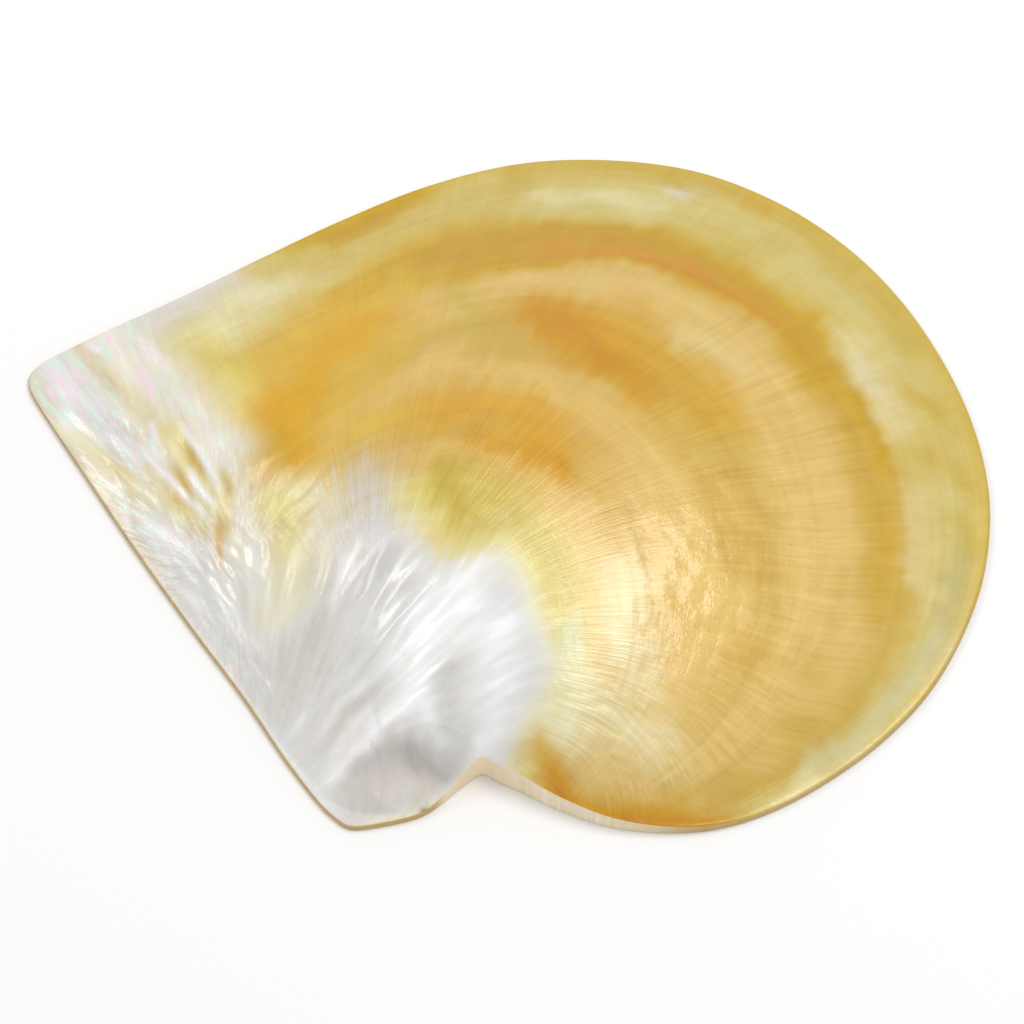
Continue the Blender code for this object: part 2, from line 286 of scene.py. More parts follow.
    ("gold", 0.6, 2.4, [(73, 19), (76, 8), (77, -4), (76, -12)]),
    # Outer zone
    ("pale", 0.9, 4.6, [(-62, 26), (-56, 36), (-48, 46), (-44, 54)]),
    ("cream", 0.4, 3.6, [(-66, 30), (-58, 42), (-50, 52)]),
    ("pale", 0.3, 4, [(-40, 62), (-22, 65), (-4, 66)]),
    ("cream", 0.4, 4.4, [(4, 65), (14, 61), (24, 60)]),
    ("silver", 0.2, 3, [(10, 64), (16, 60)]),
    ("cream", 0.3, 4.4, [(42, 52), (52, 46), (62, 40)]),
    ("cream", 0.5, 2.4, [(70, 39), (77, 25), (81, 8), (81.6, -8)]),
    ("gold", 0.7, 4, [(-78, 34), (-71, 31), (-68, 27)]),
    ("moss", 0.5, 3.0, [(81, 4), (79, 20), (71, 38), (57, 54)]),
    ("old gold", 0.8, 5, [(-82, 12), (-80, -4), (-80, -16)]),
    ("old gold", 0.5, 3.0, [(-82, 0), (-81.6, -12)]),
    ("straw", 0.8, 4, [(-78, -16), (-80, -26)]),
    ("gold", 0.9, 2.4, [(-58, 60), (-54, 61)]),
    ("gold", 0.7, 2.6, [(-50, 66), (-44, 70), (-39, 71)]),
    ("amber", 0.5, 1.8, [(-41, 71), (-38, 73)]),
    ("silver", 0.5, 1.6, [(-54, 57), (-51, 60), (-50, 64)]),
    ("gold", 0.7, 4.4, [(-32, 76), (-22, 78), (-8, 77), (6, 76)]),
    ("olive", 0.5, 4, [(-2, 79), (8, 77)]),
    ("old gold", 0.5, 3.6, [(20, 67), (26, 69)]),
    ("gold", 0.8, 3.6, [(34, 64), (40, 66)]),
    ("olive", 0.6, 3, [(48, 60), (56, 58)]),
    ("gold", 0.4, 4, [(-34, 58), (-24, 60), (-30, 66)]),
    ("pale", 0.25, 1.4, [(-36, 58), (-40, 66), (-46, 72)]),
    # Near margin
    ("amber", 0.8, 3.0, [(56, -44), (68, -37), (76, -29), (81, -20)]),
    ("gold", 0.3, 3.4, [(74, -24), (79, -14), (80, -4)]),
    ("marmalade", 1.0, 3.6, [(63, -42.5), (69, -38), (76, -30)]),
    ("brown", 0.5, 1.6, [(62, -42.6), (70, -37), (75, -31.5)]),
    ("brown", 0.5, 1.4, [(76, -30), (80, -23), (82.5, -15)]),
]
EDGE_TAN = (198, 172, 116)
EDGE_CREAM = (238, 222, 192)
THICK_EDGE = (1.5, 3.0)
# What the gloss adds to every colour in the studio light, taken off what is painted
GLOSS_HAZE = 0.048
DARKEST = 0.004
# Clouds wander off their lines, less on the posterior ear, and their ends are feathered along the rays.
# A layer of unevenness is told as its height, its size and the seed of its waves.
CLOUD_WANDER = 0.9
WANDER_ACROSS = [(1.0, 16.0, 1), (0.22, 4.0, 3)]
WANDER_ALONG = [(1.0, 16.0, 2), (0.22, 4.0, 4)]
EAR_STEADINESS = 0.85
RAY_FEATHER = 0.55
FEATHERS = [(1.0, 3.2, 21), (0.8, 1.5, 22)]
FEATHER_GROWTH_STRETCH = 20.0
FEATHER_START = (12.0, 45.0)
# A cloud thinner than this is a stroke that tapers at its ends
WIDEST_STROKE = 1.7
STROKE_END = 0.08
STROKE_TAPER = 0.8

# Mesh density
STEPS_BETWEEN_POINTS = 12
OUTSIDE_RINGS = 120
INSIDE_RINGS = 34
OUTSIDE_CROWDING = 1.2
INSIDE_CROWDING = 0.8
EDGE_ROUNDING = 0.45
EDGE_ROUNDING_STEPS = 4
EDGE_FACE_RISES = (0.5, 0.12)
EDGE_FOOT = 0.15
# Rounding, face and foot of the edge
EDGE_RINGS = EDGE_ROUNDING_STEPS + len(EDGE_FACE_RISES) + 1
LOW_WALL_SHARE = 0.55
HOLLOW_FOOT = 10
CALM_MARGIN = 5.0

# Layers of unevenness in smooth waves: how many, and how far their length strays from the size
WAVES = 14
WAVE_LENGTHS = (0.7, 1.9)

# Raised and sunken lines: height, half width, and the line, each faded at its ends
FOLDS = [
    # Crest and streaks of the silver zone
    (0.35, 1.3, [(24.5, -58), (22, -52), (20.5, -44)]),
    (-0.20, 0.9, [(25.5, -56), (23.6, -50), (22.6, -44)]),
    (0.35, 1.8, [(30, -58), (28, -50), (25.5, -41)]),
    (0.30, 1.6, [(36.4, -76), (35.5, -66), (36.5, -57), (38, -50)]),
    (-0.25, 1.0, [(36.5, -46), (36.2, -50), (37, -56)]),
    (0.22, 1.4, [(29, -75), (27, -66), (28, -58)]),
    (-0.20, 1.8, [(31.5, -74), (30.5, -66), (32, -60)]),
    (0.30, 2.2, [(10, -62), (6, -57), (2, -50)]),
    (0.20, 1.2, [(16, -57), (14.5, -50), (14, -42)]),
    (0.18, 1.6, [(22, -79), (14, -77.5), (6, -78)]),
    # Wrinkles beside the posterior ear
    (0.42, 0.8, [(-14, -59), (-13.8, -53), (-16, -45), (-20, -38)]),
    (-0.35, 0.8, [(-15.6, -59), (-15.4, -53), (-17.8, -45)]),
    (0.34, 1.0, [(-18, -62), (-17.4, -55), (-19.4, -48)]),
    (-0.25, 0.9, [(-20.5, -60), (-20, -54), (-22, -47)]),
    (0.30, 1.0, [(-24, -57), (-23.4, -51), (-26, -44)]),
    (0.26, 1.0, [(-29, -56), (-28, -50)]),
    (0.35, 0.8, [(-16, -63.6), (-11, -65), (-7, -68.4)]),
    (0.32, 0.8, [(-15, -66.4), (-11, -68.2), (-8, -71)]),
    (-0.26, 0.7, [(-15, -65), (-11, -66.6), (-7.6, -69.6)]),
    (0.40, 1.1, [(-34, -78), (-27, -76.4), (-20, -74.2)]),
    (-0.40, 0.6, [(-24, -67.6), (-20, -69.4), (-15.4, -72.2)]),
    (0.38, 0.9, [(-39, -66), (-33, -66.9), (-26, -66.5)]),
    (0.32, 0.9, [(-50, -61.2), (-40, -62.2), (-29, -64.2)]),
    (-0.25, 1.2, [(-46, -63.2), (-39, -64.4), (-32, -65.2)]),
    (0.30, 1.0, [(-56, -65.4), (-49, -68.2), (-44, -69.2)]),
    (-0.25, 1.1, [(-42, -68.2), (-36, -69.2), (-30, -70.2)]),
    (0.28, 1.0, [(-14, -75.4), (-5, -76.8), (0, -79.6)]),
    # Nick and scar
    (-0.30, 0.6, [(-24.5, -0.5), (-22.6, -3)]),
    (0.18, 0.7, [(-26, -1.5), (-24, -4)]),
    (0.22, 0.5, [(69.2, -31), (71, -27), (71.2, -22), (69.6, -18.6)]),
    (-0.22, 0.6, [(70.4, -32), (72.4, -27), (72.4, -22)]),
    (0.12, 0.6, [(-14, 8.2), (-10, 10)]),
]
# Growth stages where the shell paused, each a low step
PAUSES = [0.40, 0.455, 0.475, 0.66, 0.73, 0.765, 0.80]
PAUSE_HEIGHT = 0.05
PAUSE_WIDTH = 0.004
# Ripples ahead of the notch
RIPPLE_CENTRE = np.array([60.0, -30.0])
RIPPLE_REACH = np.array([10.0, 6.0])
RIPPLE_BEARING = math.radians(36.0)
RIPPLE_SPACING = 2.3
RIPPLE_HEIGHT = 0.10
RIPPLE_BEND = 0.7
RIPPLE_BEND_LENGTH = 2.1
RIPPLE_DRIFT = [(1.2, 14.0, 11)]
# Hammered patch on the anterior side
HAMMERED_CENTRE = np.array([42.0, 6.0])
HAMMERED_REACH = 26.0
HAMMERED_HEIGHT = 0.022
HAMMERED_BANDS = [(1.0, 2.6, 8)]
HAMMERED_BAND_STRETCH = (0.35, 120.0)
HAMMERED_LUMPS = [(0.8, 7.0, 9)]
# Streaks of the posterior ear and the silver zone
EAR_STREAKS = [(0.15, 9.0, 5), (0.08, 4.0, 6)]
EAR_STREAK_STRETCH = 16.0
SILVER_STREAKS = [(0.16, 7.0, 7), (0.07, 2.6, 10)]
SILVER_STREAK_STRETCH = 0.22

# Fine lines in the material: the flow they follow, their stretch, detail and roughness
LINES = {
    "ray": ("rays", (95.0, 95.0, 9.0), 3.0, 0.65),
    "band": ("rays", (2.5, 2.5, 75.0), 3.0, 0.6),
    "wrinkle": ("rays", (16.0, 16.0, 30.0), 3.0, 0.65),
    "silver line": ("silver_lines", (26.0, 26.0, 4.5), 4.0, 0.6),
    "silver fold": ("silver_lines", (12.0, 12.0, 3.5), 2.0, 0.5),
    "ear line": ("ear_lines", (16.0, 16.0, 3.0), 4.0, 0.65),
    "ear fleck": ("ear_lines", (34.0, 34.0, 9.0), 2.0, 0.5),
}
MOTTLE = ((160.0, 160.0, 160.0), 4.0, 0.6)
DARK_LINE, LIGHT_LINE = 0.25, 0.75
# Light and dark of the lines: its depth in red, green and blue, then each line's zone and strength
GOLD_DEPTH = (0.09, 0.13, 0.30)
GOLD_SHADES = [
    ("ray", "golden rays", 1.0), ("band", "golden", 0.5),
    ("mottle", "golden", 0.4), ("wrinkle", "hammered", 0.8),
]
SILVER_DEPTH = (0.10, 0.10, 0.11)
SILVER_SHADES = [
    ("silver line", "silver", 0.8), ("silver fold", "silver", 0.8), ("ear line", "posterior", 1.6),
]
# Relief of the lines
BUMP_DISTANCE = 0.00008
MOTTLE_BUMP = 0.9
BUMP_LINES = [
    ("ray", "golden rays", 1.3), ("band", "golden", 0.5), ("wrinkle", "hammered", 2.4),
    ("silver line", "silver", 1.3), ("ear line", "posterior", 3.4),
]
# Glints of thin nacre: colour, fleck value where it starts and where it is full, and strength
GLINTS = [("pink", 0.55, 0.66, 0.75), ("mint", 0.45, 0.34, 0.65)]
GLINTS_OFF_THE_EAR = 0.12
# Gloss
NACRE_METALLIC = 0.15
NACRE_SPECULAR = 0.3
NACRE_ROUGHNESS = 0.46
EDGE_ROUGHNESS = 0.7
GOLDEN_COAT = 0.54
COAT_ROUGHNESS = 0.14
COAT_IOR = 1.6

# Camera, at the photo's viewing angle
CAMERA_BEARING = math.radians(58.126)
CAMERA_ELEVATION = math.radians(54.0)
CAMERA_DISTANCE = 706.2
CAMERA_TARGET = (-1.087, -14.203, 0.0)
LENS = 125.0
SENSOR = 36.0

# Studio, in metres: each light's place right of the line of sight, away and up, then width, depth, power
KEY_LIGHT = ((0.30, 0.14, 0.85), 0.26, 0.56, 3.0)
LEFT_LIGHT = ((-0.66, 0.22, 0.72), 0.16, 0.50, 1.1)
SURROUNDINGS = 0.685
FLOOR_HALF = 3.0
FLOOR_GREY = 0.94
FLOOR_ROUGHNESS = 0.9


def smooth_margin():
    """The closed margin through its points, sized to the valve's length and height."""
    points = [Vector(point) for point in MARGIN_POINTS]
    count = len(points)
    tangents = [(points[(i + 1) % count] - points[i - 1]).normalized() for i in range(count)]
    curve = []
    for i, start in enumerate(points):
        after = (i + 1) % count
        end = points[after]
        reach = (end - start).length / 3
        span = interpolate_bezier(start, start + tangents[i] * reach, end - tangents[after] * reach, end,
                                  STEPS_BETWEEN_POINTS + 1)
        curve.extend(point.to_2d() for point in span[:-1])
    curve = np.array(curve)
    low, high = curve.min(axis=0), curve.max(axis=0)
    return (curve - (low + high) / 2) * np.array([VALVE_LENGTH, VALVE_HEIGHT]) / (high - low)


def fade(distance, reach):
    """1 at no distance, falling smoothly to 0 at the given reach."""
    t = np.clip(distance / reach, 0.0, 1.0)
    return 1.0 - t * t * (3.0 - 2.0 * t)


def edge_height(margin):
    """Height of the edge face all round: thin, but thick on both sides of the notch."""
    from_notch = np.linalg.norm(margin - NOTCH, axis=1)
    reach = np.where(margin[:, 1] > NOTCH[1], THICK_EDGE_ON_BODY, THICK_EDGE_ON_EAR)
    return EDGE_THICKNESS + (NOTCH_THICKNESS - EDGE_THICKNESS) * fade(from_notch, reach)


def softened(margin, values):
    """Values along the margin, averaged over the spokes near each one."""
    spokes = margin - PEAK
    bearing = np.arctan2(spokes[:, 1], spokes[:, 0])
    gap = np.abs(np.angle(np.exp(1j * (np.roll(bearing, -1) - np.roll(bearing, 1)))))
    turn = np.angle(np.exp(1j * (bearing[:, None] - bearing[None, :])))
    weight = np.exp(-(turn / OUTLINE_SOFTNESS) ** 2) * gap[None, :]
    return weight @ values / weight.sum(axis=1)


def body_foot(margin):
    """Where the body alone would end on each spoke, and how high, with notch and corners smoothed out."""
    return softened(margin, np.linalg.norm(margin - PEAK, axis=1)), softened(margin, edge_height(margin))


def dome_height(spokes, share, edge, foot):
    """The dome over one ring: round near its top, following the body's outline lower down."""
    foot_length, foot_height = foot
    length = np.linalg.norm(spokes, axis=1)
    bearing = spokes / length[:, None]
    along = bearing @ PEAK
    round_length = np.sqrt(along ** 2 + BODY_RADIUS ** 2 - PEAK @ PEAK) - along
    body_share = share * length / foot_length
    hold = np.clip(body_share, 0, 1) ** OUTLINE_HOLD
    body_share *= (1 - hold) * foot_length / round_length + hold
    turn = np.angle(np.exp(1j * (np.arctan2(spokes[:, 1], spokes[:, 0]) - ANTERIOR_BEARING)))
    flare = DOME_FLARE - ANTERIOR_STEEPNESS * np.exp(-(turn / ANTERIOR_SPREAD) ** 2)
    dome = foot_height + (DOME_TOP - foot_height) * np.clip(1 - body_share ** 2, 0, 1) ** flare
    to_margin = (1 - share) * length
    return edge + (dome - edge) * (1 - np.exp(-to_margin / EDGE_FILLET))


def crest_height(places):
    """Extra height of the crest between the beak and the dome."""
    run = CREST_END - CREST_START
    t = np.clip((places - CREST_START) @ run / (run @ run), 0, 1)
    aside = np.linalg.norm(places - (CREST_START + t[:, None] * run), axis=1)
    return CREST_RISE * np.sin(math.pi * t) ** 1.5 * np.exp(-(aside / CREST_WIDTH) ** 2)


def beside_line(places, line):
    """Distance of each place to a drawn line, and the side it lies on (+1 to its left)."""
    nearest = np.full(len(places), np.inf)
    side = np.ones(len(places))
    for start, end in zip(line, line[1:]):
        start = np.array(start)
        run = np.array(end) - start
        away = places - start
        along = np.clip(away @ run / (run @ run), 0, 1)
        gap = np.linalg.norm(away - along[:, None] * run, axis=1)
        closer = gap < nearest
        nearest[closer] = gap[closer]
        left = run[0] * away[:, 1] - run[1] * away[:, 0]
        side[closer] = np.sign(left)[closer]
    return nearest, side


def ear_share(places):
    """1 on the anterior ear, 0 on the body, with a crisp lip and a soft foot between them."""
    gap, side = beside_line(places, LIP_LINE)
    into_ear = np.where((side < 0) & (places[:, 0] > EAR_STARTS), gap, 0.0)
    return 1 - np.clip(1 - into_ear / LIP_FOOT, 0, 1) ** 2


def outside_height(margin, share, foot):
    """Height of the polished outside over one ring of the valve."""
    spokes = margin - PEAK
    places = PEAK + share[:, None] * spokes
    edge = edge_height(margin)
    to_margin = (1 - share) * np.linalg.norm(spokes, axis=1)
    body = dome_height(spokes, share, edge, foot)
    body += crest_height(places) * np.minimum(1.0, CREST_ENDS * (1 - share))
    ear = np.minimum(edge + EAR_SLOPE * to_margin, body)
    return body + (ear - body) * ear_share(places)


def ramp(values, low, high):
    """0 below low, 1 above high, smooth between; it falls instead when high is below low."""
    t = np.clip((values - low) / (high - low), 0.0, 1.0)
    return t * t * (3.0 - 2.0 * t)


def share_of_growth(places, origin, open_margin):
    """How far each place is on its way from an origin to the open margin."""
    out = places - origin
    ends = open_margin - origin
    bearings = np.unwrap(np.arctan2(ends[:, 1], ends[:, 0]))
    first = np.argmin(bearings)
    bearings, ends = bearings[first:], ends[first:]
    bearing = np.arctan2(out[:, 1], out[:, 0])
    bearing = np.where(bearing < bearings[0] - math.pi / 4, bearing + 2 * math.pi, bearing)
    reach = np.interp(bearing, bearings, np.linalg.norm(ends, axis=1))
    return np.linalg.norm(out, axis=1) / reach


def growth_and_fan(places, margin):
    """Growth stage (0 at the beak, 1 at the open margin) and bearing in the fan of rays, in degrees."""
    first = (len(HINGE_EDGE) + len(EAR_EDGE) + len(NOTCH_EDGE)) * STEPS_BETWEEN_POINTS
    last = len(margin) - CORNER_POINTS * STEPS_BETWEEN_POINTS
    open_margin = margin[first:last]
    fan, _ = turned(places, FAN_CENTRE)
    early = share_of_growth(places, BEAK, open_margin)
    late = share_of_growth(places, LATE_CENTRE, open_margin)
    weight = ramp(late, *LATE_GROWTH) * ramp(fan, *OPEN_FAN)
    return early + (late - early) * weight, fan


def turned(places, centre):
    """Bearing of each place about a centre, in degrees from -90 to 270, and its distance."""
    out = places - centre
    bearing = np.degrees(np.arctan2(out[:, 1], out[:, 0]))
    return np.where(bearing < -90.0, bearing + 360.0, bearing), np.linalg.norm(out, axis=1)


def ray_strength(growth, fan):
    """How plainly the fine rays show: best over the lemon ring and the anterior middle."""
    lemon = ramp(growth, *LEMON_STARTS) * ramp(growth, *LEMON_ENDS)
    middle = ramp(growth, *MIDDLE_STARTS) * ramp(growth, *MIDDLE_ENDS) * ramp(fan, *MIDDLE_FAN)
    return FAINT_RAYS + (1 - FAINT_RAYS) * np.maximum(lemon, middle)


def zone_shares(places):
    """How much each place belongs to the silver zone and to the posterior ear, from 0 to 1."""
    gap, _ = beside_line(places, SILVER_LINE)
    silver = np.exp(-(gap / SILVER_REACH) ** 4)
    ear = ramp(places[:, 1], *EAR_IN_Y) * ramp(places[:, 0], *EAR_IN_X)
    hinge = ramp(places[:, 1], *HINGE_STRIP_IN_Y) * ramp(places[:, 0], *HINGE_STRIP_IN_X)
    posterior = np.maximum(ear, hinge)
    return silver * (1 - posterior), posterior


def hammered_share(places):
    """How much each place belongs to the hammered patch, from 0 to 1."""
    away = ((places - HAMMERED_CENTRE) ** 2).sum(axis=1)
    return np.exp(-(away / HAMMERED_REACH ** 2) ** 1.5)


def unevenness(places, size, seed):
    """Smooth seeded lumps of about the given size and unit height."""
    chance = np.random.default_rng(seed)
    total = np.zeros(len(places))
    for _ in range(WAVES):
        bearing = chance.uniform(0.0, 2 * math.pi)
        wave = 2 * math.pi / (size * chance.uniform(*WAVE_LENGTHS))
        heading = np.array([math.cos(bearing), math.sin(bearing)]) * wave
        total += np.sin(places @ heading + chance.uniform(0.0, 2 * math.pi))
    return total / math.sqrt(WAVES / 2)


def layered(places, layers):
    """Layers of unevenness together, each told as height, size and seed."""
    return sum(height * unevenness(places, size, seed) for height, size, seed in layers)


def line_height(places, height, width, line):
    """A ridge or furrow along a line, fading out towards both ends of it."""
    gap, _ = beside_line(places, line)
    run = np.array(line[-1]) - np.array(line[0])
    along = np.clip((places - np.array(line[0])) @ run / (run @ run), 0, 1)
    taper = np.sin(math.pi * (STROKE_END + (1 - 2 * STROKE_END) * along)) ** STROKE_TAPER
    return height * np.exp(-(gap / width) ** 2) * taper


def ripple_height(places):
    """Wavy ripples ahead of the notch."""
    away = places - RIPPLE_CENTRE
    heading = np.array([math.cos(RIPPLE_BEARING), math.sin(RIPPLE_BEARING)])
    along, across = away @ heading, away @ np.array([-heading[1], heading[0]])
    bend = RIPPLE_BEND * np.sin(along / RIPPLE_BEND_LENGTH) + layered(places, RIPPLE_DRIFT)
    inside = np.exp(-(along / RIPPLE_REACH[0]) ** 2 - (across / RIPPLE_REACH[1]) ** 2)
    return RIPPLE_HEIGHT * inside * np.sin(2 * math.pi * (across + bend) / RIPPLE_SPACING)


def fine_relief(places, growth, fan):
    """Height of folds, wrinkles, ripples and growth steps on the polished outside."""
    silver, posterior = zone_shares(places)
    total = sum(line_height(places, *fold) for fold in FOLDS)
    for stage in PAUSES:
        total += PAUSE_HEIGHT * np.tanh((stage - growth) / PAUSE_WIDTH) * ramp(fan, *OPEN_FAN)
    bearing, distance = turned(places, EAR_CENTRE)
    streaks = np.column_stack([bearing, EAR_STREAK_STRETCH * np.log(distance + 1.0)])
    total += posterior * layered(streaks, EAR_STREAKS)
    bearing, distance = turned(places, SILVER_CENTRE)
    streaks = np.column_stack([bearing, SILVER_STREAK_STRETCH * distance])
    total += silver * layered(streaks, SILVER_STREAKS)
    bands = np.column_stack([fan, growth]) * HAMMERED_BAND_STRETCH
    hammering = layered(bands, HAMMERED_BANDS) + layered(places, HAMMERED_LUMPS)
    total += HAMMERED_HEIGHT * hammered_share(places) * hammering
    return total + ripple_height(places)


def linear(colour):
    """Light value of a colour given out of 255."""
    value = np.array(colour) / 255.0
    return np.where(value <= 0.04045, value / 12.92, ((value + 0.055) / 1.055) ** 2.4)


def growth_colour(growth, colours):
    """Colour of each growth stage, blended between the named ones."""
    stages = [stage for stage, _ in colours]
    shades = np.array([linear(NACRE[name]) for _, name in colours])
    return np.column_stack([np.interp(growth, stages, shades[:, k]) for k in range(3)])


def wandered(places, growth):
    """Places moved a little, so that clouds laid at them get uneven outlines, feathered along the rays."""
    _, posterior = zone_shares(places)
    freedom = 1 - EAR_STEADINESS * posterior[:, None]
    wander = np.column_stack([layered(places, WANDER_ACROSS), layered(places, WANDER_ALONG)])
    bearing, distance = turned(places, FAN_CENTRE)
    outward = (places - FAN_CENTRE) / np.maximum(distance, 1.0)[:, None]
    rays = np.column_stack([bearing, FEATHER_GROWTH_STRETCH * growth])
    feather = layered(rays, FEATHERS) * ramp(distance, *FEATHER_START)
    return places + CLOUD_WANDER * freedom * wander + RAY_FEATHER * freedom * feather[:, None] * outward


def nacre_colour(places, growth):
    """Colour of the polished nacre: growth stages under clouds of colour, some of them painted highlights
    and shade.
    """
    colour = growth_colour(growth, GROWTH_COLOURS)
    moved = wandered(places, growth)
    for name, strength, width, line in CLOUDS:
        if width < WIDEST_STROKE:
            cover = line_height(moved, strength, width, line)
        else:
            gap, _ = beside_line(moved, line)
            cover = strength * np.exp(-(gap / width) ** 2)
        colour += cover[:, None] * (linear(NACRE[name]) - colour)
    return np.clip(colour - GLOSS_HAZE, DARKEST, 1.0)


def ring(margin, share, height):
    """Points of one ring, each at its share of the way from the dome's top to the margin."""
    places = PEAK + share[:, None] * (margin - PEAK)
    return np.column_stack([places, np.broadcast_to(height, len(places))])


def outside_rings(margin, foot):
    """Rings of the polished outside with its fine relief, from the dome's top to the rounded edge."""
    length = np.linalg.norm(margin - PEAK, axis=1)
    rings = []
    for k in range(1, OUTSIDE_RINGS + 1):
        share = (1 - EDGE_ROUNDING / length) * (1 - (1 - k / OUTSIDE_RINGS) ** OUTSIDE_CROWDING)
        places = PEAK + share[:, None] * (margin - PEAK)
        calm = ramp((1 - share) * length, EDGE_ROUNDING, CALM_MARGIN)
        relief = calm * fine_relief(places, *growth_and_fan(places, margin))
        height = np.minimum(outside_height(margin, share, foot) + relief, DOME_TOP)
        rings.append(ring(margin, share, height))
    return rings


def edge_rings(margin, shoulder):
    """Rings down the edge: its rounding from the shoulder's height, its face and its foot."""
    length = np.linalg.norm(margin - PEAK, axis=1)
    low = edge_height(margin) - EDGE_ROUNDING
    rings = []
    for k in range(1, EDGE_ROUNDING_STEPS + 1):
        turn = 0.5 * math.pi * k / EDGE_ROUNDING_STEPS
        share = 1 - EDGE_ROUNDING * (1 - math.sin(turn)) / length
        rings.append(ring(margin, share, low + (shoulder - low) * math.cos(turn)))
    for rise in EDGE_FACE_RISES:
        rings.append(ring(margin, np.ones(len(margin)), rise * low))
    rings.append(ring(margin, 1 - EDGE_FOOT / length, 0.0))
    return rings


def hollow_rings(margin, foot):
    """Rings of the flat rim and the hollow, which keeps the wall under the outside."""
    rim = 1 - RIM_WIDTH / np.linalg.norm(margin - PEAK, axis=1)
    rings = [ring(margin, rim, 0.0)]
    for k in range(1, INSIDE_RINGS):
        share = (1 - k / INSIDE_RINGS) ** INSIDE_CROWDING
        outside = outside_height(margin, rim * share, foot)
        wall = np.minimum(WALL_THICKNESS, LOW_WALL_SHARE * outside)
        rings.append(ring(margin, rim * share, (outside - wall) * (1 - share ** HOLLOW_FOOT)))
    return rings


def shell_rings(margin):
    """Rings from the dome's top over the edge and the rim to the middle of the hollow."""
    foot = body_foot(margin)
    outside = outside_rings(margin, foot)
    return outside + edge_rings(margin, outside[-1][:, 2]) + hollow_rings(margin, foot)


def closed_net(rings, first, last):
    """Vertices and faces of a closed body through rings, drawn to a point at both ends."""
    count = len(rings[0])
    verts = [first, *np.concatenate(rings), last]
    faces = []
    for j in range(count):
        beside = (j + 1) % count
        faces.append((0, 1 + j, 1 + beside))
    for i in range(len(rings) - 1):
        base = 1 + i * count
        for j in range(count):
            beside = (j + 1) % count
            faces.append((base + j, base + count + j, base + count + beside, base + beside))
    base = 1 + (len(rings) - 1) * count
    end = len(verts) - 1
    for j in range(count):
        faces.append((base + (j + 1) % count, base + j, end))
    return verts, faces


def edge_colour(edge):
    """Colour of the edge face: cream where it is thick, tan where it is thin."""
    thick = ramp(edge, *THICK_EDGE)[:, None]
    return linear(EDGE_TAN) + thick * (linear(EDGE_CREAM) - linear(EDGE_TAN))


def shell_colour(verts, margin, growth):
    """Colour of each vertex: the outside, the edge face and the hollow."""
    count = len(margin)
    colour = nacre_colour(verts[:, :2], growth)
    edge_start = 1 + (OUTSIDE_RINGS + 1) * count
    hollow_start = 1 + (OUTSIDE_RINGS + EDGE_RINGS) * count
    colour[hollow_start:] = growth_colour(growth[hollow_start:], HOLLOW_COLOURS)
    colour[edge_start:hollow_start] = np.tile(edge_colour(edge_height(margin)), (EDGE_RINGS - 1, 1))
    return colour


def give_attribute(mesh, name, values):
    """Store one number, or one vector, per vertex for the material."""
    single = values.ndim == 1
    layer = mesh.attributes.new(name, "FLOAT" if single else "FLOAT_VECTOR", "POINT")
    flat = np.ascontiguousarray(values, dtype=np.float32).ravel()
    layer.data.foreach_set("value" if single else "vector", flat)


def flow(places, centre):
    """Seamless coordinates of fine lines that run together at a centre: two across them, one along."""
    bearing, distance = turned(places, centre)
    turn = np.radians(bearing)
    return np.column_stack([np.cos(turn), np.sin(turn), np.log(distance + 1.0)])


def ray_flow(places, growth):
    """Coordinates of the fine rays, which bend from the young centre to the fan's own."""
    young, _ = turned(places, YOUNG_RAY_CENTRE)
    grown, _ = turned(places, FAN_CENTRE)
    turn = np.radians(young + (grown - young) * ramp(growth, *RAY_TURN))
    return np.column_stack([np.cos(turn), np.sin(turn), growth])


def shell_attributes(verts, margin):
    """What the material reads at each vertex: colour, flow of the fine lines, and zones."""
    places = verts[:, :2]
    growth, fan = growth_and_fan(places, margin)
    silver, posterior = zone_shares(places)
    elsewhere = 1 - silver - posterior
    colour = shell_colour(verts, margin, growth).clip(0, 1)
    pearly = ramp(colour.min(axis=1) / colour.max(axis=1), *PEARLY_PALENESS)
    streaked = posterior * ramp(np.linalg.norm(places - EAR_CENTRE, axis=1), *EAR_STREAKS_START)
    lined = silver * (1 - ear_share(places))
    golden_rays = elsewhere * ray_strength(growth, fan)
    on_edge = np.zeros(len(verts))
    count = len(margin)
    on_edge[1 + (OUTSIDE_RINGS - 1) * count:1 + (OUTSIDE_RINGS + EDGE_RINGS) * count] = 1.0
    return {
        # Nacre colour together with its painted highlights and painted shade
        "pigment_and_painted_light": colour,
        "rays": ray_flow(places, growth),
        "silver_lines": flow(places, SILVER_CENTRE),
        "ear_lines": flow(places, EAR_CENTRE),
        "zones": np.column_stack([lined, streaked, pearly]),
        "textures": np.column_stack([golden_rays, hammered_share(places), elsewhere]),
        "on_edge": on_edge,
    }


def make_shell():
    """The dressed valve as one closed mesh with the colours and bearings that its material reads."""
    margin = smooth_margin()
    verts, faces = closed_net(shell_rings(margin), (*PEAK, DOME_TOP), (*PEAK, DOME_TOP - WALL_THICKNESS))
    verts = np.array(verts)
    mesh = bpy.data.meshes.new("shell_nacre")
    mesh.from_pydata((verts * MM).tolist(), [], faces)
    mesh.update()
    for name, values in shell_attributes(verts, margin).items():
        give_attribute(mesh, name, values)
    mesh.shade_smooth()
    shell = bpy.data.objects.new("shell_nacre", mesh)
    bpy.context.scene.collection.objects.link(shell)
    return shell


